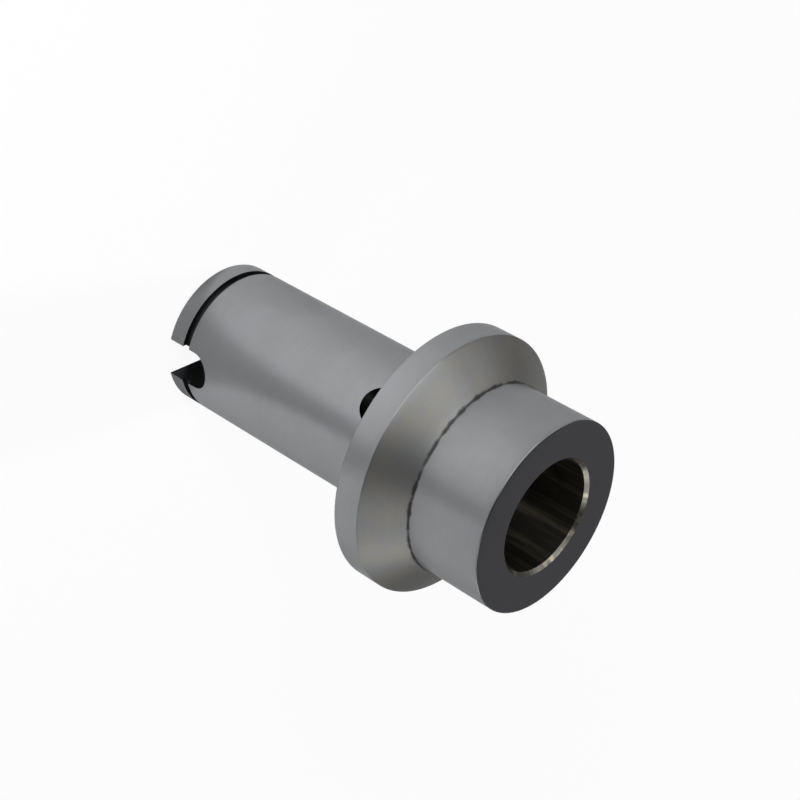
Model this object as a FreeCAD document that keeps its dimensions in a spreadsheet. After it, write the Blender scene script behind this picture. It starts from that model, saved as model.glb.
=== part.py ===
"""Morse taper sleeve with a coned flange: one turned, bored and milled steel piece.

The sleeve stands on its slotted rear face.  The origin is the middle of that face, +Z runs along
the axis to the nose, where the inside taper opens, and the driving slot runs along X.
"""
import FreeCAD, Part

import math
import os
import Sketcher

# Driving dimensions in millimetres, degrees or a plain ratio.
SIZES = {
    "shank_diameter": "32",
    "shank_length": "62",           # from the rear face to the flange's seat on the spindle
    "flange_diameter": "56",
    "rim_width": "6",
    "cone_length": "6.3",           # along the axis, from the rim to the nose
    "nose_diameter": "41",
    "nose_length": "17.2",
    "gauge_diameter": "23.825",     # No. 3 Morse taper at its gauge plane, the nose face
    "taper_ratio": "19.922",        # length over the loss of diameter
    "pilot_length": "8.3",          # the plain bore past the taper's small end
    "pilot_overlap": "0.7",         # how far that bore's full diameter runs into the slot
    "drill_point_angle": "118",
    "mouth_chamfer": "0.7",
    "slot_width": "8.3",
    "slot_depth": "11.7",           # from the rear face to the crown of the slot's round end
    "end_land": "4",                # from the rear face to the ring groove
    "ring_groove_width": "1.8",
    "ring_groove_depth": "0.85",
    "cross_hole_diameter": "8.5",
    "cross_hole_setback": "6.2",    # from the flange's seat to the hole's axis
    "cross_hole_angle": "-49",      # from +X, anticlockwise seen from the nose
    "edge_break": "0.3",            # the small chamfer on every outside corner
    "nose_root_radius": "0.8",
    "seat_root_radius": "0.4",
    "tool_overrun": "2",            # how far a cutting outline runs past the metal
}

# Radii, heights above the rear face and lengths that follow from the driving dimensions.
PLACES = {
    "shank_radius": "sizes.shank_diameter / 2",
    "flange_radius": "sizes.flange_diameter / 2",
    "nose_radius": "sizes.nose_diameter / 2",
    "gauge_radius": "sizes.gauge_diameter / 2",
    "seat": "sizes.shank_length",
    "rim_top": "seat + sizes.rim_width",
    "nose_base": "rim_top + sizes.cone_length",
    "nose_face": "nose_base + sizes.nose_length",
    "pilot_end": "sizes.slot_depth - sizes.pilot_overlap",
    "taper_end": "pilot_end + sizes.pilot_length",
    "pilot_radius": "gauge_radius - (nose_face - taper_end) / sizes.taper_ratio / 2",
    "drill_point": "pilot_end - pilot_radius / tan(sizes.drill_point_angle / 2 * 1 deg)",
    "groove_rear": "sizes.end_land",
    "groove_front": "groove_rear + sizes.ring_groove_width",
    "groove_floor": "shank_radius - sizes.ring_groove_depth",
    "groove_clear": "shank_radius + sizes.tool_overrun",
    "slot_radius": "sizes.slot_width / 2",
    "slot_shoulder": "sizes.slot_depth - slot_radius",
    "slot_mouth": "-sizes.tool_overrun",
    "slot_length": "sizes.shank_diameter + 2 * sizes.tool_overrun",
    "hole_radius": "sizes.cross_hole_diameter / 2",
    "hole_height": "seat - sizes.cross_hole_setback",
    "hole_length": "shank_radius + sizes.tool_overrun",
}

# A place on the sleeve's axis, and one at its rear face, have no distance of their own.
ON_AXIS = REAR_FACE = None

# Sketcher's numbers for the points of a curve, and for a sketch's own axes and origin.
START, END, MIDDLE = range(1, 4)
H_AXIS, V_AXIS = range(-1, -3, -1)
ORIGIN = (H_AXIS, START)

# How near an edge lies to the corner that it is looked up by.
MATCH = 100 * Part.Precision.confusion()


def make_sheet(doc, name, cells):
    """Put each value or formula in its own aliased cell, beside its name."""
    sheet = doc.addObject("Spreadsheet::Sheet", name)
    for row, (alias, content) in enumerate(cells.items(), start=1):
        sheet.set("A%d" % row, alias)
        sheet.set("B%d" % row, content)
        sheet.setAlias("B%d" % row, alias)
    doc.recompute()


def distance(doc, place):
    """Read a named place from the sheet as a number of millimetres."""
    return 0.0 if place is None else float(getattr(doc.places, place))


def plane_sketch(body, role, name):
    """Make an empty sketch on one of the body's origin planes."""
    sketch = body.newObject("Sketcher::SketchObject", name)
    plane = next(item for item in body.Origin.OriginFeatures if item.Role == role)
    sketch.AttachmentSupport = [(plane, "")]
    sketch.MapMode = "FlatFace"
    return sketch


def tie(sketch, name, constraint, place):
    """Add a dimension and bind it to a named place."""
    index = sketch.addConstraint(constraint)
    sketch.renameConstraint(index, name)
    sketch.setExpression("Constraints." + name, "places." + place)


def pin_point(sketch, point, x, y, name):
    """Place a point by its distances from the sketch's origin, or on an axis where one is nought."""
    for kind, axis, place in (("DistanceX", V_AXIS, x), ("DistanceY", H_AXIS, y)):
        if place is None:
            sketch.addConstraint(Sketcher.Constraint("PointOnObject", *point, axis))
        else:
            length = distance(sketch.Document, place)
            constraint = Sketcher.Constraint(kind, *ORIGIN, *point, length)
            tie(sketch, name + kind[-1], constraint, place)


def outline(sketch, corners):
    """Draw a closed outline through named corners, each at a named x and y."""
    points = [
        FreeCAD.Vector(distance(sketch.Document, x), distance(sketch.Document, y), 0)
        for x, y in corners.values()
    ]
    following = points[1:] + points[:1]
    sketch.addGeometry([Part.LineSegment(a, b) for a, b in zip(points, following)])
    for line in range(len(points)):
        after = (line + 1) % len(points)
        sketch.addConstraint(Sketcher.Constraint("Coincident", line, END, after, START))
    for line, (name, (x, y)) in enumerate(corners.items()):
        pin_point(sketch, (line, START), x, y, name)


def turned(body, kind, name, corners):
    """Revolve a half section about the sleeve's axis, to add metal or to cut it."""
    sketch = plane_sketch(body, "XZ_Plane", name + "_section")
    outline(sketch, corners)
    feature = body.newObject(kind, name)
    feature.Profile = sketch
    feature.ReferenceAxis = (sketch, ["V_Axis"])
    body.Document.recompute()


def circular_edges(feature, corners):
    """Name the feature's circular edges at the given corners of the half section."""
    doc = feature.Document
    wanted = [(distance(doc, radius), distance(doc, height)) for radius, height in corners]
    names = []
    for number, edge in enumerate(feature.Shape.Edges, start=1):
        if not isinstance(edge.Curve, Part.Circle):
            continue
        corner = (edge.Curve.Radius, edge.Curve.Center.z)
        if any(math.dist(corner, place) < MATCH for place in wanted):
            names.append("Edge%d" % number)
    if len(names) != len(wanted):
        raise RuntimeError("%s: found edges %s for %s" % (feature.Label, names, wanted))
    return names


def dress(body, kind, name, size_property, size, corners):
    """Chamfer or fillet the circular edges at the given corners of the half section."""
    base = body.Tip
    feature = body.newObject(kind, name)
    feature.Base = (base, circular_edges(base, corners))
    feature.setExpression(size_property, size)
    body.Document.recompute()


def turn_outside(body):
    """Turn the shank, the flange's rim and cone, and the nose."""
    turned(body, "PartDesign::Revolution", "outside", {
        "rear_middle": (ON_AXIS, REAR_FACE),
        "rear_edge": ("shank_radius", REAR_FACE),
        "seat_root": ("shank_radius", "seat"),
        "seat_edge": ("flange_radius", "seat"),
        "rim_edge": ("flange_radius", "rim_top"),
        "nose_root": ("nose_radius", "nose_base"),
        "nose_edge": ("nose_radius", "nose_face"),
        "nose_middle": (ON_AXIS, "nose_face"),
    })
    dress(body, "PartDesign::Fillet", "nose_root_fillet", "Radius", "sizes.nose_root_radius", [
        ("nose_radius", "nose_base"),
    ])
    dress(body, "PartDesign::Fillet", "seat_root_fillet", "Radius", "sizes.seat_root_radius", [
        ("shank_radius", "seat"),
    ])
    dress(body, "PartDesign::Chamfer", "edge_breaks", "Size", "sizes.edge_break", [
        ("shank_radius", REAR_FACE),
        ("flange_radius", "seat"),
        ("flange_radius", "rim_top"),
        ("nose_radius", "nose_face"),
    ])


def bore_inside(body):
    """Bore the pilot with its drill point, then the taper, and chamfer the mouth."""
    turned(body, "PartDesign::Groove", "taper_bore", {
        "point": (ON_AXIS, "drill_point"),
        "pilot_end": ("pilot_radius", "pilot_end"),
        "small_end": ("pilot_radius", "taper_end"),
        "mouth": ("gauge_radius", "nose_face"),
        "mouth_middle": (ON_AXIS, "nose_face"),
    })
    dress(body, "PartDesign::Chamfer", "mouth_lead_in", "Size", "sizes.mouth_chamfer", [
        ("gauge_radius", "nose_face"),
    ])


def cut_ring_groove(body):
    """Cut the groove for a retaining ring near the rear end."""
    turned(body, "PartDesign::Groove", "ring_groove", {
        "floor_rear": ("groove_floor", "groove_rear"),
        "open_rear": ("groove_clear", "groove_rear"),
        "open_front": ("groove_clear", "groove_front"),
        "floor_front": ("groove_floor", "groove_front"),
    })


def mill_slot(body):
    """Mill the driving slot across the rear end, right through along X, with a round end."""
    doc = body.Document
    sketch = plane_sketch(body, "YZ_Plane", "slot_section")
    radius = distance(doc, "slot_radius")
    shoulder = distance(doc, "slot_shoulder")
    mouth = distance(doc, "slot_mouth")
    crown = Part.Circle(FreeCAD.Vector(0, shoulder, 0), FreeCAD.Vector(0, 0, 1), radius)
    left, right = -radius, radius
    sketch.addGeometry([
        Part.LineSegment(FreeCAD.Vector(left, mouth, 0), FreeCAD.Vector(right, mouth, 0)),
        Part.LineSegment(FreeCAD.Vector(right, mouth, 0), FreeCAD.Vector(right, shoulder, 0)),
        Part.ArcOfCircle(crown, 0, math.pi),
        Part.LineSegment(FreeCAD.Vector(left, shoulder, 0), FreeCAD.Vector(left, mouth, 0)),
    ])
    base, right_wall, arc, left_wall = range(4)
    sketch.addConstraint([
        Sketcher.Constraint("Horizontal", base),
        Sketcher.Constraint("Coincident", base, END, right_wall, START),
        Sketcher.Constraint("Tangent", right_wall, END, arc, START),
        Sketcher.Constraint("Tangent", arc, END, left_wall, START),
        Sketcher.Constraint("Coincident", left_wall, END, base, START),
        Sketcher.Constraint("Vertical", right_wall),
    ])
    tie(sketch, "crown_radius", Sketcher.Constraint("Radius", arc, radius), "slot_radius")
    pin_point(sketch, (arc, MIDDLE), ON_AXIS, "slot_shoulder", "crown")
    depth = Sketcher.Constraint("DistanceY", *ORIGIN, base, START, mouth)
    tie(sketch, "mouth", depth, "slot_mouth")
    slot = body.newObject("PartDesign::Pocket", "driving_slot")
    slot.Profile = sketch
    slot.SideType = "Symmetric"
    slot.setExpression("Length", "places.slot_length")
    doc.recompute()


def drill_cross_hole(body):
    """Drill one hole through the shank's wall into the bore, square to the axis."""
    doc = body.Document
    sketch = plane_sketch(body, "YZ_Plane", "cross_hole_section")
    about_axis = FreeCAD.Rotation(FreeCAD.Vector(0, 1, 0), 1)
    sketch.AttachmentOffset = FreeCAD.Placement(FreeCAD.Vector(0, 0, 0), about_axis)
    sketch.setExpression("AttachmentOffset.Rotation.Angle", "sizes.cross_hole_angle * 1 deg")
    radius = distance(doc, "hole_radius")
    centre = FreeCAD.Vector(0, distance(doc, "hole_height"), 0)
    hole = sketch.addGeometry(Part.Circle(centre, FreeCAD.Vector(0, 0, 1), radius))
    pin_point(sketch, (hole, MIDDLE), ON_AXIS, "hole_height", "centre")
    tie(sketch, "hole_radius", Sketcher.Constraint("Radius", hole, radius), "hole_radius")
    drilled = body.newObject("PartDesign::Pocket", "cross_hole")
    drilled.Profile = sketch
    drilled.Reversed = True
    drilled.setExpression("Length", "places.hole_length")
    doc.recompute()


def check(doc, body):
    """Stop if any object failed, a cut missed the metal, or the solid isn't one sound piece."""
    for item in doc.Objects:
        if {"Invalid", "Error"} & set(item.State):
            raise RuntimeError("%s failed: %s" % (item.Label, item.State))
    for name in ("taper_bore", "ring_groove", "driving_slot", "cross_hole"):
        cut = doc.getObject(name)
        removed = cut.BaseFeature.Shape.Volume - cut.Shape.Volume
        if removed <= 0:
            raise RuntimeError("%s cuts nothing" % name)
        print("%s removes %.0f cubic mm" % (name, removed))
    shape = body.Shape
    if shape.isNull() or not shape.isValid() or len(shape.Solids) != 1:
        raise RuntimeError("%s isn't one valid solid" % body.Label)


def main():
    """Build the sleeve and write it as one STEP file."""
    doc = FreeCAD.newDocument("taper_sleeve")
    make_sheet(doc, "sizes", SIZES)
    make_sheet(doc, "places", {place: "=" + formula for place, formula in PLACES.items()})
    body = doc.addObject("PartDesign::Body", "sleeve")
    turn_outside(body)
    bore_inside(body)
    cut_ring_groove(body)
    mill_slot(body)
    drill_cross_hole(body)
    doc.recompute()
    check(doc, body)
    os.makedirs("parts", exist_ok=True)
    body.Shape.exportStep("parts/%s.step" % body.Label)
    box = body.Shape.optimalBoundingBox(True, False)
    print("%s: %.1f x %.1f x %.1f mm" % (body.Label, box.XLength, box.YLength, box.ZLength))


main()
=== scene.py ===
"""Morse taper sleeve in Blender: a turned, ground and milled steel sleeve on a plain pale floor.

The sleeve is one piece.  It stands on its slotted rear face at the origin, with its axis on Z and
its driving slot along X, in metres.
"""
import logging
import math
from collections.abc import Mapping
from dataclasses import dataclass
from enum import Enum

import bpy
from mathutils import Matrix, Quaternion, Vector


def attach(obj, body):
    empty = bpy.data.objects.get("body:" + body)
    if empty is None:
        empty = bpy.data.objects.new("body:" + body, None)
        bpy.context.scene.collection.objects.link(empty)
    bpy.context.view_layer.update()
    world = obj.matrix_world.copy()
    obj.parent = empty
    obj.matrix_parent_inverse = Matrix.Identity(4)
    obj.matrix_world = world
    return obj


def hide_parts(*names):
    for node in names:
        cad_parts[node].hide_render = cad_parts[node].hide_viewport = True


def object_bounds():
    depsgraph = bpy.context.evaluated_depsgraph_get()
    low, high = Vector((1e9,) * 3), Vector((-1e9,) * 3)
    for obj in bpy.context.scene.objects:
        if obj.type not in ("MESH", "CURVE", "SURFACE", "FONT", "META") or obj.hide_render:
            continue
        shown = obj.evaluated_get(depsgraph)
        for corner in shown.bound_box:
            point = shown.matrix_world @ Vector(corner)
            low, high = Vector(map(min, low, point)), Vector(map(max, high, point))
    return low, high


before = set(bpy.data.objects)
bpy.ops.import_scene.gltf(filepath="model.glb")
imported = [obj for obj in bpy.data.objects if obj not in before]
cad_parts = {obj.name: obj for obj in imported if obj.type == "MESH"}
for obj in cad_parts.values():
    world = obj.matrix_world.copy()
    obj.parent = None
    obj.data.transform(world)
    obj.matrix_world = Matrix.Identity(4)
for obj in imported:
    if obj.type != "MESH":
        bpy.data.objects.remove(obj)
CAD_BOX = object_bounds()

LOG = logging.getLogger("taper_sleeve")

MM = 0.001
NODE = "sleeve"
BODY = "root"

QUARTER_TURN = 0.25                 # as the shader counts turns
WELD = 1e-6                         # metres within which two points are one
ROD_SIDES = 96
ARC_STEP = math.radians(15)         # between two points of a rounded edge
GRAZING_TINT = "#D2D2D2"            # steel mirrors less at a grazing angle than an ideal metal

NOISE_SPAN = (0.3, 0.7)             # most of a noise's values

# The corner at the foot of the nose, where it meets the cone, and the painted shade in that corner.
NOSE_RADIUS = 20.5                  # mm
NOSE_BASE = 74.3                    # mm above the rear face
ROOT_SHADE_COLOUR = "#2A2A2C"
ROOT_SHADE_SHARE = 0.78                   # how strongly the painted shade darkens the metal
ROOT_SHADE_REACH = (0.05, 0.62)           # mm that the painted shade reaches, where it is thinnest and thickest
ROOT_SHADE_BLUR = 0.2                     # mm on each side of the painted shade's edge
ROOT_SHADE_RAG = 3.0                      # mm from one ragged bit to the next
ROOT_SHADE_SPAN = (0.34, 0.68)            # noise values where the painted shade is thinnest and thickest

# A Mix node's colour sockets: they share their names with its other kinds of socket.
MIX_A, MIX_B, MIX_RESULT = 6, 7, 2

Socket = bpy.types.NodeSocket
Tree = bpy.types.NodeTree
Point = tuple[float, float]


def linear(code: str, alpha: float = 1.0) -> tuple[float, float, float, float]:
    """Turn an sRGB hex colour into linear RGBA.

    Args:
        code: The colour as "#RRGGBB".
        alpha: The fourth value.

    Returns:
        The linear red, green and blue, and the alpha.
    """
    values = (int(code[place:place + 2], 16) / 255 for place in (1, 3, 5))
    red, green, blue = (
        value / 12.92 if value <= 0.04045 else ((value + 0.055) / 1.055) ** 2.4
        for value in values
    )
    return red, green, blue, alpha


def add_node(
    tree: Tree,
    kind: str,
    settings: Mapping[str, object] | None = None,
    inputs: Mapping[str | int, object] | None = None,
) -> bpy.types.Node:
    """Add a node with its settings, and set or link its inputs.

    Args:
        tree: The node tree that gets the node.
        kind: The node's type name.
        settings: Values of the node's own properties.
        inputs: A value or an output socket for each named or numbered input.

    Returns:
        The new node.
    """
    node = tree.nodes.new(kind)
    for name, value in (settings or {}).items():
        setattr(node, name, value)
    for key, value in (inputs or {}).items():
        if isinstance(value, Socket):
            tree.links.new(value, node.inputs[key])
        else:
            node.inputs[key].default_value = value
    return node


def add_noise(tree: Tree, vector: Socket, scale: float, detail: float, roughness: float) -> Socket:
    """Add a Noise Texture node, whose values lie mostly between 0.3 and 0.7.

    Args:
        tree: The node tree that gets the node.
        vector: Where the noise is read.
        scale: Its scale, per unit of the vector.
        detail: How many finer layers it has.
        roughness: How strong the finer layers are.

    Returns:
        The noise's value.
    """
    return add_node(tree, "ShaderNodeTexNoise", inputs={
        "Vector": vector, "Scale": scale, "Detail": detail, "Roughness": roughness,
    }).outputs["Fac"]


def remap(tree: Tree, value: Socket, source: Point, target: Point) -> Socket:
    """Map a value from one range to another, and hold it at the ends.

    Args:
        tree: The node tree that gets the node.
        value: The value.
        source: The first and last value of the range that it comes from.
        target: What they become.

    Returns:
        The mapped value.
    """
    return add_node(tree, "ShaderNodeMapRange", inputs={
        "Value": value,
        "From Min": source[0], "From Max": source[1], "To Min": target[0], "To Max": target[1],
    }).outputs[0]


def mix_colours(tree: Tree, share: Socket, first: object, second: object) -> Socket:
    """Mix two colours.

    Args:
        tree: The node tree that gets the node.
        share: How much of the second colour there is.
        first: The first colour, as a value or a socket.
        second: The second colour.

    Returns:
        The mixed colour.
    """
    return add_node(tree, "ShaderNodeMix", {"data_type": "RGBA"}, {
        0: share, MIX_A: first, MIX_B: second,
    }).outputs[MIX_RESULT]


def lathe_place(tree: Tree, place: Socket) -> tuple[Socket, Socket, Socket]:
    """Split a place into its flat vector from the axis, its radius and its height.

    Args:
        tree: The node tree that gets the nodes.
        place: The object's own coordinates.

    Returns:
        The flat vector, its length and the height.
    """
    parts = add_node(tree, "ShaderNodeSeparateXYZ", inputs={"Vector": place}).outputs
    flat = add_node(tree, "ShaderNodeCombineXYZ", inputs={"X": parts["X"], "Y": parts["Y"]})
    radius = add_node(tree, "ShaderNodeVectorMath", {"operation": "LENGTH"}, {0: flat.outputs[0]})
    return flat.outputs[0], radius.outputs["Value"], parts["Z"]


class Surface(Enum):
    """The machined surfaces of the sleeve, numbered as the section's edges are."""

    GROUND = 0
    TURNED = 1
    FACED = 2
    REAMED = 3
    RECESS = 4


@dataclass(frozen=True)
class MachinedSteel:
    """Bare medium-carbon steel, cut or ground on a lathe.

    The tool leaves fine rings round the axis, which stretch every reflection along the section.
    Cool grey, with patches of a slightly warmer tone where the metal was handled.
    """

    name: str
    colour: str                     # most of the metal
    patch_colour: str               # where it was handled
    roughness: float
    stretch: float                  # how far the rings stretch a reflection, from 0 to 1
    across: Point                   # unit step across the rings, along the axis and outwards
    ring_width: float = 0.22        # mm; real marks are a tenth of this, too fine to show
    ring_run: float = 9.0           # mm that a mark keeps its depth round the sleeve
    ring_depth: float = 0.0002      # mm
    patch_size: float = 11.0        # mm across a patch of tone
    patch_share: float = 0.5        # how strongly the patches show
    patch_span: Point = (0.42, 0.62)    # noise values of the clean metal and of a full patch
    mark_shade: Point = (0.975, 1.015)  # brightness of the deepest mark and of the highest ridge
    reflection_streak_share: float = 0.0       # how strongly the painted lengthwise reflections show
    reflection_streak_colour: str = "#D8D0BC"
    reflection_streak_width: float = 2.2       # mm
    reflection_streak_run: float = 30.0        # mm along the axis
    reflection_streak_span: Point = (0.5, 0.66)    # noise values beside a streak and at its middle
    painted_root_shade: bool = False       # painted shade in the corner at the foot of the nose

    def material(self) -> bpy.types.Material:
        """Build the material."""
        material = bpy.data.materials.new(self.name)
        material.use_nodes = True
        tree = material.node_tree
        shader = tree.nodes["Principled BSDF"]
        place = add_node(tree, "ShaderNodeTexCoord").outputs["Object"]
        marks = self._marks(tree, place)
        tone = self._tone(tree, place, marks)
        # painted reflections: warm light streaks along the bore
        if self.reflection_streak_share:
            tone = self._paint_reflection_streaks(tree, place, tone)
        # painted shade: a dark ragged line in the corner at the foot of the nose
        if self.painted_root_shade:
            tone = self._paint_root_shade(tree, place, tone)
        shader.inputs["Metallic"].default_value = 1.0
        shader.inputs["Specular Tint"].default_value = linear(GRAZING_TINT)
        shader.inputs["Roughness"].default_value = self.roughness
        shader.inputs["Anisotropic"].default_value = self.stretch
        shader.inputs["Anisotropic Rotation"].default_value = QUARTER_TURN
        tree.links.new(tone, shader.inputs["Base Color"])
        bump = add_node(tree, "ShaderNodeBump", inputs={
            "Strength": 1.0, "Distance": self.ring_depth * MM, "Height": marks,
        })
        tree.links.new(bump.outputs["Normal"], shader.inputs["Normal"])
        tangent = add_node(tree, "ShaderNodeTangent", {"direction_type": "RADIAL", "axis": "Z"})
        tree.links.new(tangent.outputs["Tangent"], shader.inputs["Tangent"])
        return material

    def _marks(self, tree: Tree, place: Socket) -> Socket:
        """Draw the tool's rings as noise that is fine across them and long round the axis."""
        flat, radius, height = lathe_place(tree, place)
        along, outwards = self.across
        risen = add_node(tree, "ShaderNodeMath", {"operation": "MULTIPLY"}, {
            0: height, 1: along / (self.ring_width * MM),
        })
        step = add_node(tree, "ShaderNodeMath", {"operation": "MULTIPLY_ADD"}, {
            0: radius, 1: outwards / (self.ring_width * MM), 2: risen.outputs[0],
        })
        around = add_node(tree, "ShaderNodeVectorMath", {"operation": "SCALE"}, {
            0: flat, "Scale": 1 / (self.ring_run * MM),
        })
        spread = add_node(tree, "ShaderNodeCombineXYZ", inputs={"Z": step.outputs[0]})
        where = add_node(tree, "ShaderNodeVectorMath", {"operation": "ADD"}, {
            0: around.outputs[0], 1: spread.outputs[0],
        })
        return add_noise(tree, where.outputs[0], 1.0, 2.0, 0.6)

    def _tone(self, tree: Tree, place: Socket, marks: Socket) -> Socket:
        """Mix the metal's colour with the patches, and darken the deeper marks a little as painted
        shade, with a faint painted highlight on the ridges.
        """
        patches = add_noise(tree, place, 1 / (self.patch_size * MM), 5.0, 0.6)
        share = remap(tree, patches, self.patch_span, (0.0, self.patch_share))
        metal = mix_colours(tree, share, linear(self.colour), linear(self.patch_colour))
        shade = remap(tree, marks, NOISE_SPAN, self.mark_shade)
        return add_node(tree, "ShaderNodeMix", {"data_type": "RGBA", "blend_type": "MULTIPLY"}, {
            0: 1.0, MIX_A: metal, MIX_B: shade,
        }).outputs[MIX_RESULT]

    def _paint_reflection_streaks(self, tree: Tree, place: Socket, tone: Socket) -> Socket:
        """Lay warm light streaks along the axis in the bore, as painted reflections."""
        fine = 1 / (self.reflection_streak_width * MM)
        long = 1 / (self.reflection_streak_run * MM)
        stretched = add_node(tree, "ShaderNodeVectorMath", {"operation": "MULTIPLY"}, {
            0: place, 1: (fine, fine, long),
        })
        reflection_streaks = add_noise(tree, stretched.outputs[0], 1.0, 3.0, 0.6)
        share = remap(tree, reflection_streaks, self.reflection_streak_span, (0.0, self.reflection_streak_share))
        return mix_colours(tree, share, tone, linear(self.reflection_streak_colour))

    def _paint_root_shade(self, tree: Tree, place: Socket, tone: Socket) -> Socket:
        """Darken a thin ragged line in the corner between the cone and the nose, as painted shade.
        """
        _, radius, height = lathe_place(tree, place)
        section = add_node(tree, "ShaderNodeCombineXYZ", inputs={"X": radius, "Z": height})
        away = add_node(tree, "ShaderNodeVectorMath", {"operation": "DISTANCE"}, {
            0: section.outputs[0], 1: (NOSE_RADIUS * MM, 0.0, NOSE_BASE * MM),
        })
        rag = add_noise(tree, place, 1 / (ROOT_SHADE_RAG * MM), 5.0, 0.65)
        thin, thick = ROOT_SHADE_REACH
        reach = remap(tree, rag, ROOT_SHADE_SPAN, (thin * MM, thick * MM))
        edge = add_node(tree, "ShaderNodeMath", {"operation": "SUBTRACT"}, {
            0: away.outputs["Value"], 1: reach,
        })
        blur = ROOT_SHADE_BLUR * MM
        share = remap(tree, edge.outputs[0], (-blur, blur), (ROOT_SHADE_SHARE, 0.0))
        return mix_colours(tree, share, tone, linear(ROOT_SHADE_COLOUR))


FINISHES = {
    Surface.GROUND: MachinedSteel("ground_steel", "#A6A8AB", "#9F9F9E", 0.28, 0.75, (1.0, 0.0),
                                  painted_root_shade=True),
    Surface.TURNED: MachinedSteel("turned_steel", "#999A9A", "#A09D96", 0.48, 0.40, (0.643, -0.766),
                                patch_size=5.0, patch_share=0.8, painted_root_shade=True),
    Surface.FACED: MachinedSteel("faced_steel", "#98989E", "#9A9A9C", 0.24, 0.3, (0.0, 1.0)),
    # the bore's light streaks are painted reflections
    Surface.REAMED: MachinedSteel("reamed_steel", "#8A8780", "#7E796E", 0.3, 0.4, (1.0, 0.0),
                                  reflection_streak_share=0.8),
    # the recess colour is far darker than the rest of the metal: painted shade in the groove, slot,
    # cross hole and drill point
    Surface.RECESS: MachinedSteel("milled_steel_painted_shade", "#4C4E50", "#454749", 0.38, 0.2, (1.0, 0.0)),
}


class Section:
    """The sleeve's half section, walked from the rear face outside, then back down the bore."""

    def __init__(self, spacing: float) -> None:
        """Start an empty section.

        Args:
            spacing: The longest step between two points on a straight stretch, in mm.
        """
        self.spacing = spacing
        self.points: list[Point] = []
        self.surfaces: list[Surface] = []

    def start(self, radius: float, height: float) -> None:
        """Set the first point."""
        self.points.append((radius, height))

    def straight(self, radius: float, height: float, surface: Surface) -> None:
        """Run straight to a point, in steps no longer than the spacing."""
        first = Vector(self.points[-1])
        last = Vector((radius, height))
        steps = max(1, math.ceil((last - first).length / self.spacing))
        for step in range(1, steps + 1):
            self.points.append(tuple(first.lerp(last, step / steps)))
            self.surfaces.append(surface)

    def rounded(self, corner: Point, after: Point, radius: float, surface: Surface) -> None:
        """Run straight towards a corner, and round it with an arc tangent to both of its sides.

        Args:
            corner: The corner's radius and height.
            after: A point on the side that follows the corner.
            radius: The arc's radius, in mm.
            surface: The surface before the corner, which the arc belongs to as well.
        """
        middle = Vector(corner)
        back = (Vector(self.points[-1]) - middle).normalized()
        onward = (Vector(after) - middle).normalized()
        half = back.angle(onward) / 2
        reach = radius / math.tan(half)
        centre = middle + (back + onward).normalized() * (radius / math.sin(half))
        first = middle + back * reach - centre
        last = middle + onward * reach - centre
        self.straight(*(centre + first), surface)
        turn = first.angle_signed(last)
        steps = max(2, math.ceil(abs(turn) / ARC_STEP))
        for step in range(1, steps + 1):
            angle = -turn * step / steps
            spun = Vector((
                first.x * math.cos(angle) - first.y * math.sin(angle),
                first.x * math.sin(angle) + first.y * math.cos(angle),
            ))
            self.points.append(tuple(centre + spun))
            self.surfaces.append(surface)


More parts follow.
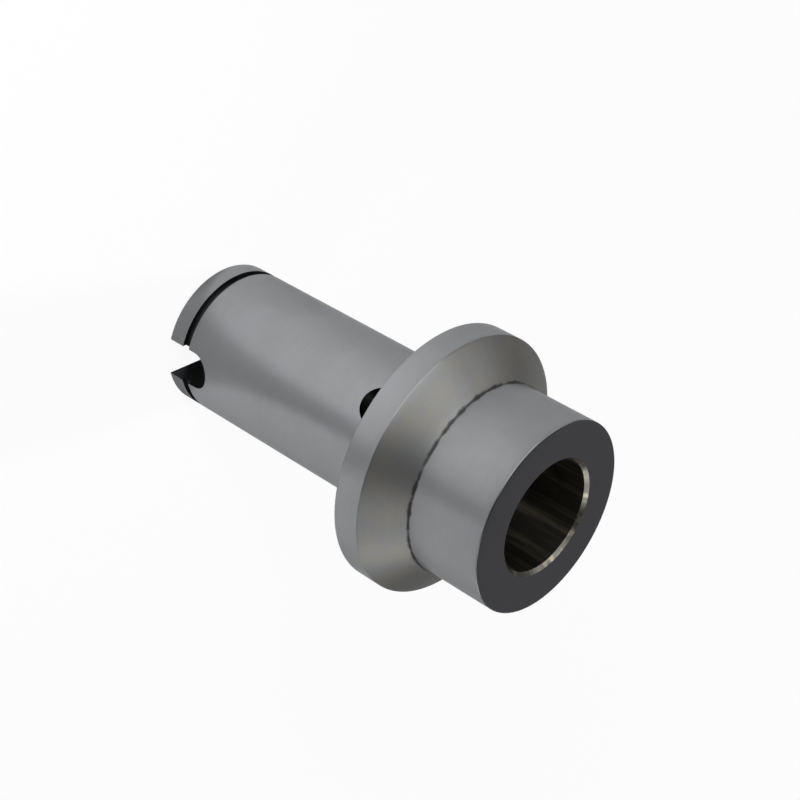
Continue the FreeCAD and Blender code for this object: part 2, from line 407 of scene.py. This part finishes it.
@dataclass(frozen=True)
class TaperSleeve:
    """The sleeve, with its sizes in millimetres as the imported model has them."""

    shank_radius: float = 16.0
    flange_radius: float = 28.0
    nose_radius: float = NOSE_RADIUS
    seat: float = 62.0              # heights above the rear face
    rim_top: float = 68.0
    nose_base: float = NOSE_BASE
    nose_face: float = 91.5
    groove_rear: float = 4.0
    groove_front: float = 5.8
    groove_floor: float = 15.15     # radius
    gauge_radius: float = 11.9125
    taper_ratio: float = 19.922     # length over the loss of diameter
    taper_end: float = 19.3
    pilot_end: float = 11.0
    drill_point: float = 4.93
    mouth_chamfer: float = 0.7
    slot_width: float = 8.3
    slot_depth: float = 11.7
    hole_radius: float = 4.25
    hole_height: float = 55.8
    hole_angle: float = -49.0       # degrees from +X
    edge_radius: float = 0.22       # the broken outside edges
    nose_root_radius: float = 0.8
    seat_root_radius: float = 0.4
    sharp: float = 25.0             # degrees between faces that are shaded as an edge
    segments: int = 288
    spacing: float = 2.0            # longest step along the section
    overrun: float = 2.0            # how far the cutters stand out past the shank

    def section(self) -> Section:
        """Draw the half section with its broken edges and root fillets."""
        pilot_radius = self.gauge_radius - (self.nose_face - self.taper_end) / self.taper_ratio / 2
        mouth_radius = self.gauge_radius + self.mouth_chamfer
        chamfer_end = self.nose_face - self.mouth_chamfer
        throat = self.gauge_radius - self.mouth_chamfer / self.taper_ratio / 2
        line = Section(self.spacing)
        line.start(0.0, 0.0)
        line.rounded((self.shank_radius, 0.0), (self.shank_radius, self.groove_rear),
                     self.edge_radius, Surface.TURNED)
        line.straight(self.shank_radius, self.groove_rear, Surface.GROUND)
        line.straight(self.groove_floor, self.groove_rear, Surface.RECESS)
        line.straight(self.groove_floor, self.groove_front, Surface.RECESS)
        line.straight(self.shank_radius, self.groove_front, Surface.RECESS)
        line.rounded((self.shank_radius, self.seat), (self.flange_radius, self.seat),
                     self.seat_root_radius, Surface.GROUND)
        line.rounded((self.flange_radius, self.seat), (self.flange_radius, self.rim_top),
                     self.edge_radius, Surface.TURNED)
        line.rounded((self.flange_radius, self.rim_top), (self.nose_radius, self.nose_base),
                     self.edge_radius, Surface.GROUND)
        line.rounded((self.nose_radius, self.nose_base), (self.nose_radius, self.nose_face),
                     self.nose_root_radius, Surface.TURNED)
        line.rounded((self.nose_radius, self.nose_face), (mouth_radius, self.nose_face),
                     self.edge_radius, Surface.GROUND)
        line.straight(mouth_radius, self.nose_face, Surface.FACED)
        line.straight(throat, chamfer_end, Surface.REAMED)
        line.straight(pilot_radius, self.taper_end, Surface.REAMED)
        line.straight(pilot_radius, self.pilot_end, Surface.REAMED)
        line.straight(0.0, self.drill_point, Surface.RECESS)
        return line

    def outline_mesh(self) -> bpy.types.Mesh:
        """Make the half section a mesh of points and edges, with each edge's surface number."""
        line = self.section()
        points = [(radius * MM, 0.0, height * MM) for radius, height in line.points]
        edges = [(place, place + 1) for place in range(len(points) - 1)]
        mesh = bpy.data.meshes.new("half_section")
        mesh.from_pydata(points, edges, [])
        surface = mesh.attributes.new("surface", "INT", "EDGE")
        surface.data.foreach_set("value", [item.value for item in line.surfaces])
        return mesh

    def build(self) -> bpy.types.Object:
        """Turn the section into the finished sleeve.

        Returns:
            The sleeve's object, at the origin, with a plain mesh and its materials.
        """
        materials = {surface: finish.material() for surface, finish in FINISHES.items()}
        sleeve = bpy.data.objects.new("taper_sleeve", self.outline_mesh())
        bpy.context.scene.collection.objects.link(sleeve)
        lathe = LatheTree("turn_bore_and_mill")
        lathe.draw(materials)
        modifier = sleeve.modifiers.new("turning", "NODES")
        modifier.node_group = lathe.tree
        for name, value in {
            "Segments": self.segments,
            "Slot Width": self.slot_width * MM,
            "Slot Depth": self.slot_depth * MM,
            "Slot Length": (2 * self.shank_radius + self.overrun) * MM,
            "Hole Radius": self.hole_radius * MM,
            "Hole Height": self.hole_height * MM,
            "Hole Angle": math.radians(self.hole_angle),
            "Hole Length": (self.shank_radius + self.overrun) * MM,
        }.items():
            modifier[lathe.identifiers[name]] = value
        graph = bpy.context.evaluated_depsgraph_get()
        mesh = bpy.data.meshes.new_from_object(sleeve.evaluated_get(graph))
        sleeve.modifiers.clear()
        sleeve.data = mesh
        mesh.name = "taper_sleeve"
        mesh.shade_smooth()
        mesh.set_sharp_from_angle(angle=math.radians(self.sharp))
        return sleeve


class LatheTree:
    """A node tree that revolves a half section, mills the slot and drills the cross hole."""

    def __init__(self, name: str) -> None:
        """Make the tree with its named inputs."""
        self.tree = bpy.data.node_groups.new(name, "GeometryNodeTree")
        self.identifiers: dict[str, str] = {}
        sockets = self.tree.interface
        sockets.new_socket("Geometry", in_out="INPUT", socket_type="NodeSocketGeometry")
        sockets.new_socket("Geometry", in_out="OUTPUT", socket_type="NodeSocketGeometry")
        kinds = {"Segments": "NodeSocketInt"}
        for label in ("Slot Width", "Slot Depth", "Slot Length", "Hole Radius", "Hole Height",
                      "Hole Angle", "Hole Length"):
            kinds[label] = "NodeSocketFloat"
        for label, kind in kinds.items():
            item = sockets.new_socket(label, in_out="INPUT", socket_type=kind)
            self.identifiers[label] = item.identifier
        self.given = add_node(self.tree, "NodeGroupInput").outputs

    def math(self, operation: str, *values: object) -> Socket:
        """Add a Math node and return its result."""
        inputs = dict(enumerate(values))
        return add_node(self.tree, "ShaderNodeMath", {"operation": operation}, inputs).outputs[0]

    def draw(self, materials: Mapping[Surface, bpy.types.Material]) -> None:
        """Draw the whole tree."""
        turned = self._revolve(materials)
        # the cutters give the slot and cross hole walls the recess material, whose dark colour is
        # painted shade
        recess = materials[Surface.RECESS]
        cut = add_node(self.tree, "GeometryNodeMeshBoolean", {
            "operation": "DIFFERENCE", "solver": "EXACT",
        }, {"Mesh 1": turned})
        for cutter in (self._slot_box(), self._slot_crown(), self._hole_drill()):
            painted = add_node(self.tree, "GeometryNodeSetMaterial", inputs={
                "Geometry": cutter, "Material": recess,
            })
            self.tree.links.new(painted.outputs[0], cut.inputs["Mesh 2"])
        real = add_node(self.tree, "GeometryNodeRealizeInstances", inputs={
            "Geometry": cut.outputs["Mesh"],
        })
        add_node(self.tree, "NodeGroupOutput", inputs={"Geometry": real.outputs[0]})

    def _revolve(self, materials: Mapping[Surface, bpy.types.Material]) -> Socket:
        """Sweep the section round the axis and give each surface its material."""
        section = self.given["Geometry"]
        size = add_node(self.tree, "GeometryNodeAttributeDomainSize", {"component": "MESH"}, {
            "Geometry": section,
        }).outputs
        columns = self.math("ADD", self.given["Segments"], 1)
        grid = add_node(self.tree, "GeometryNodeMeshGrid", inputs={
            "Vertices X": size["Point Count"], "Vertices Y": columns,
        }).outputs["Mesh"]
        index = add_node(self.tree, "GeometryNodeInputIndex").outputs[0]
        ring = self._quotient(index, columns)
        around = self.math("SUBTRACT", index, self.math("MULTIPLY", ring, columns))
        angle = self.math("MULTIPLY", self.math("DIVIDE", around, self.given["Segments"]), math.tau)
        position = add_node(self.tree, "GeometryNodeInputPosition").outputs[0]
        point = add_node(self.tree, "GeometryNodeSampleIndex", {
            "data_type": "FLOAT_VECTOR", "domain": "POINT",
        }, {"Geometry": section, "Value": position, "Index": ring}).outputs[0]
        parts = add_node(self.tree, "ShaderNodeSeparateXYZ", inputs={0: point}).outputs
        place = add_node(self.tree, "ShaderNodeCombineXYZ", inputs={
            "X": self.math("MULTIPLY", parts["X"], self.math("COSINE", angle)),
            "Y": self.math("MULTIPLY", parts["X"], self.math("SINE", angle)),
            "Z": parts["Z"],
        }).outputs[0]
        shell = add_node(self.tree, "GeometryNodeSetPosition", inputs={
            "Geometry": grid, "Position": place,
        }).outputs[0]
        numbers = add_node(self.tree, "GeometryNodeInputNamedAttribute", {"data_type": "INT"}, {
            "Name": "surface",
        }).outputs["Attribute"]
        number = add_node(self.tree, "GeometryNodeSampleIndex", {
            "data_type": "INT", "domain": "EDGE",
        }, {
            "Geometry": section,
            "Value": numbers,
            "Index": self._quotient(index, self.given["Segments"]),
        }).outputs[0]
        for surface, material in materials.items():
            shell = add_node(self.tree, "GeometryNodeSetMaterial", inputs={
                "Geometry": shell,
                "Selection": self.math("COMPARE", number, surface.value, 0.5),
                "Material": material,
            }).outputs[0]
        return add_node(self.tree, "GeometryNodeMergeByDistance", inputs={
            "Geometry": shell, "Distance": WELD,
        }).outputs[0]

    def _quotient(self, number: Socket, divisor: Socket) -> Socket:
        """Divide whole numbers and drop the remainder."""
        return self.math("FLOOR", self.math("DIVIDE", self.math("ADD", number, 0.5), divisor))

    def _slot_box(self) -> Socket:
        """Make the straight part of the slot's cutter, up to the middle of its round end."""
        height = self.math("SUBTRACT", self.given["Slot Depth"], self._slot_radius())
        tall = self.math("MULTIPLY", height, 2)
        size = add_node(self.tree, "ShaderNodeCombineXYZ", inputs={
            "X": self.given["Slot Length"], "Y": self.given["Slot Width"], "Z": tall,
        }).outputs[0]
        return add_node(self.tree, "GeometryNodeMeshCube", inputs={"Size": size}).outputs["Mesh"]

    def _slot_radius(self) -> Socket:
        """Halve the slot's width."""
        return self.math("MULTIPLY", self.given["Slot Width"], 0.5)

    def _slot_crown(self) -> Socket:
        """Make the round end of the slot's cutter, lying along X."""
        height = self.math("SUBTRACT", self.given["Slot Depth"], self._slot_radius())
        return self._rod(self._slot_radius(), self.given["Slot Length"], height, 0.0, 0.0)

    def _hole_drill(self) -> Socket:
        """Make the cross hole's cutter, from the axis outwards."""
        reach = self.math("MULTIPLY", self.given["Hole Length"], 0.5)
        return self._rod(self.given["Hole Radius"], self.given["Hole Length"],
                         self.given["Hole Height"], self.given["Hole Angle"], reach)

    def _rod(self, radius: object, length: object, height: object, angle: object,
             reach: object) -> Socket:
        """Make a level rod that points at an angle from +X.

        Args:
            radius: The rod's radius.
            length: Its length.
            height: The height of its axis.
            angle: Its direction, in radians from +X.
            reach: How far its middle lies from the sleeve's axis.

        Returns:
            The rod's mesh.
        """
        rod = add_node(self.tree, "GeometryNodeMeshCylinder", inputs={
            "Vertices": ROD_SIDES, "Radius": radius, "Depth": length,
        }).outputs["Mesh"]
        turn = add_node(self.tree, "ShaderNodeCombineXYZ", inputs={"Y": math.pi / 2, "Z": angle})
        shift = add_node(self.tree, "ShaderNodeCombineXYZ", inputs={
            "X": self.math("MULTIPLY", self.math("COSINE", angle), reach),
            "Y": self.math("MULTIPLY", self.math("SINE", angle), reach),
            "Z": height,
        })
        return add_node(self.tree, "GeometryNodeTransform", inputs={
            "Geometry": rod, "Translation": shift.outputs[0], "Rotation": turn.outputs[0],
        }).outputs[0]


@dataclass(frozen=True)
class SoftLamp:
    """A rectangular softbox that faces the sleeve."""

    name: str
    azimuth: float                  # degrees from the camera's side, anticlockwise from above
    elevation: float                # degrees above the sleeve's middle
    distance: float                 # metres
    width: float
    height: float
    power: float                    # watts
    on_floor: bool = True           # whether it falls on the floor
    in_metal: bool = True           # whether the metal mirrors it

    def light(self, facing: float, middle: Vector) -> None:
        """Hang the lamp.

        Args:
            facing: The camera's azimuth, in degrees from +X.
            middle: The point that the lamp faces.
        """
        lamp = bpy.data.lights.new(self.name, "AREA")
        lamp.shape = "RECTANGLE"
        lamp.size = self.width
        lamp.size_y = self.height
        lamp.energy = self.power
        azimuth = math.radians(facing + self.azimuth)
        elevation = math.radians(self.elevation)
        away = Vector((
            math.cos(elevation) * math.cos(azimuth),
            math.cos(elevation) * math.sin(azimuth),
            math.sin(elevation),
        ))
        holder = bpy.data.objects.new(self.name, lamp)
        holder.location = middle + away * self.distance
        holder.rotation_euler = (-away).to_track_quat("-Z", "Y").to_euler()
        holder.visible_diffuse = self.on_floor
        holder.visible_glossy = self.in_metal
        bpy.context.scene.collection.objects.link(holder)


@dataclass(frozen=True)
class Viewpoint:
    """Where the camera stands and what it looks at."""

    azimuth: float = -40.17         # degrees from +X
    reach: float = 312.81           # mm from the sleeve's axis
    height: float = 258.70          # mm above the floor
    aim_aside: float = -5.86        # mm from the axis to its aim, square to the view
    aim_height: float = 48.7        # mm
    roll: float = 119.2             # degrees, so that the upright sleeve lies across the picture
    lens: float = 83.41             # mm, on a sensor 36 mm wide
    clip_start: float = 10.0        # mm

    def shoot(self) -> None:
        """Set up the camera."""
        angle = math.radians(self.azimuth)
        outwards = Vector((math.cos(angle), math.sin(angle), 0))
        aside = Vector((-math.sin(angle), math.cos(angle), 0))
        place = outwards * self.reach + Vector((0, 0, self.height))
        aim = aside * self.aim_aside + Vector((0, 0, self.aim_height))
        look = (aim - place).to_track_quat("-Z", "Y")
        camera = bpy.data.objects.new("camera", bpy.data.cameras.new("camera"))
        camera.data.lens = self.lens
        camera.data.clip_start = self.clip_start * MM
        camera.location = place * MM
        camera.rotation_euler = (look @ Quaternion((0, 0, 1), math.radians(self.roll))).to_euler()
        bpy.context.scene.collection.objects.link(camera)
        bpy.context.scene.camera = camera


@dataclass(frozen=True)
class Studio:
    """The pale floor, the grey surroundings under a dark ceiling, and the lamps.

    The upright cylinders mirror the floor, so the lamps shine on the floor alone, and the far lamp's
    shadow of the sleeve becomes the dark band along them.  The cards show in the metal alone, most
    of all in the cone.
    """

    floor_side: float = 6.0         # metres
    floor_colour: str = "#EDEDED"
    camera_white: float = 0.93      # how much of the floor is plain white to the camera
    glossy_white: float = 0.03      # and to the metal
    horizon: float = 0.17           # brightness at the horizon
    ceiling: float = 0.02           # and overhead
    ceiling_start: float = 64.0     # degrees above the horizon
    lamps: tuple[SoftLamp, ...] = (
        SoftLamp("far_lamp", -150, 28, 2.0, 0.3, 0.3, 34, in_metal=False),
        SoftLamp("near_lamp", -18, 30, 0.24, 0.04, 0.04, 0.31, in_metal=False),
        SoftLamp("right_lamp", 90, 28, 0.45, 0.12, 0.12, 0.40, in_metal=False),
        SoftLamp("near_card", -36, 42, 1.2, 1.3, 0.7, 6.8, on_floor=False),
        SoftLamp("right_card", 90, 50, 1.2, 0.5, 0.5, 1.1, on_floor=False),
        SoftLamp("back_card", 120, 30, 1.2, 0.5, 0.5, 1.4, on_floor=False),
        SoftLamp("left_card", -120, 50, 1.2, 0.5, 0.5, 1.6, on_floor=False),
    )

    def floor(self) -> bpy.types.Object:
        """Lay the floor."""
        half = self.floor_side / 2
        mesh = bpy.data.meshes.new("floor")
        corners = [(-half, -half, 0), (half, -half, 0), (half, half, 0), (-half, half, 0)]
        mesh.from_pydata(corners, [], [(0, 1, 2, 3)])
        mesh.materials.append(self._floor_material())
        floor = bpy.data.objects.new("floor", mesh)
        bpy.context.scene.collection.objects.link(floor)
        return floor

    def _floor_material(self) -> bpy.types.Material:
        """Make the floor's paper, which the camera and the metal see partly as plain white."""
        material = bpy.data.materials.new("white_paper")
        material.use_nodes = True
        tree = material.node_tree
        tree.nodes.clear()
        paper = add_node(tree, "ShaderNodeBsdfDiffuse", inputs={"Color": linear(self.floor_colour)})
        white = add_node(tree, "ShaderNodeEmission", inputs={"Color": (1, 1, 1, 1), "Strength": 1.0})
        ray = add_node(tree, "ShaderNodeLightPath").outputs
        seen = add_node(tree, "ShaderNodeMath", {"operation": "MULTIPLY"}, {
            0: ray["Is Camera Ray"], 1: self.camera_white,
        })
        mirrored = add_node(tree, "ShaderNodeMath", {"operation": "MAXIMUM"}, {
            0: ray["Is Glossy Ray"], 1: ray["Is Transmission Ray"],
        })
        share = add_node(tree, "ShaderNodeMath", {"operation": "MULTIPLY_ADD"}, {
            0: mirrored.outputs[0], 1: self.glossy_white, 2: seen.outputs[0],
        })
        mixed = add_node(tree, "ShaderNodeMixShader", inputs={
            0: share.outputs[0], 1: paper.outputs[0], 2: white.outputs[0],
        })
        add_node(tree, "ShaderNodeOutputMaterial", inputs={"Surface": mixed.outputs[0]})
        return material

    def world(self) -> None:
        """Fade the surroundings from the grey horizon to the dark ceiling."""
        world = bpy.data.worlds.new("studio")
        world.use_nodes = True
        tree = world.node_tree
        tree.nodes.clear()
        direction = add_node(tree, "ShaderNodeTexCoord").outputs["Generated"]
        height = add_node(tree, "ShaderNodeSeparateXYZ", inputs={0: direction}).outputs["Z"]
        top = math.sin(math.radians(self.ceiling_start))
        level = add_node(tree, "ShaderNodeMapRange", {"interpolation_type": "SMOOTHSTEP"}, {
            "Value": height, "From Min": top / 2, "From Max": top,
            "To Min": self.horizon, "To Max": self.ceiling,
        })
        glow = add_node(tree, "ShaderNodeBackground", inputs={
            "Color": (1, 1, 1, 1), "Strength": level.outputs[0],
        })
        add_node(tree, "ShaderNodeOutputWorld", inputs={"Surface": glow.outputs[0]})
        bpy.context.scene.world = world

    def light(self, facing: float) -> None:
        """Hang the lamps round the sleeve."""
        middle = Vector((0, 0, CAD_BOX[1][2] / 2))
        for lamp in self.lamps:
            lamp.light(facing, middle)


def main() -> None:
    """Build the sleeve and the studio round it."""
    logging.basicConfig(level=logging.INFO, format="%(name)s: %(message)s")
    view = Viewpoint()
    view.shoot()
    studio = Studio()
    studio.world()
    studio.light(view.azimuth)
    studio.floor()
    sleeve = TaperSleeve().build()
    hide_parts(NODE)
    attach(sleeve, BODY)
    LOG.info("%s: %d faces", sleeve.name, len(sleeve.data.polygons))
    bpy.context.scene.view_settings.view_transform = "Standard"


if __name__ == "__main__":
    main()
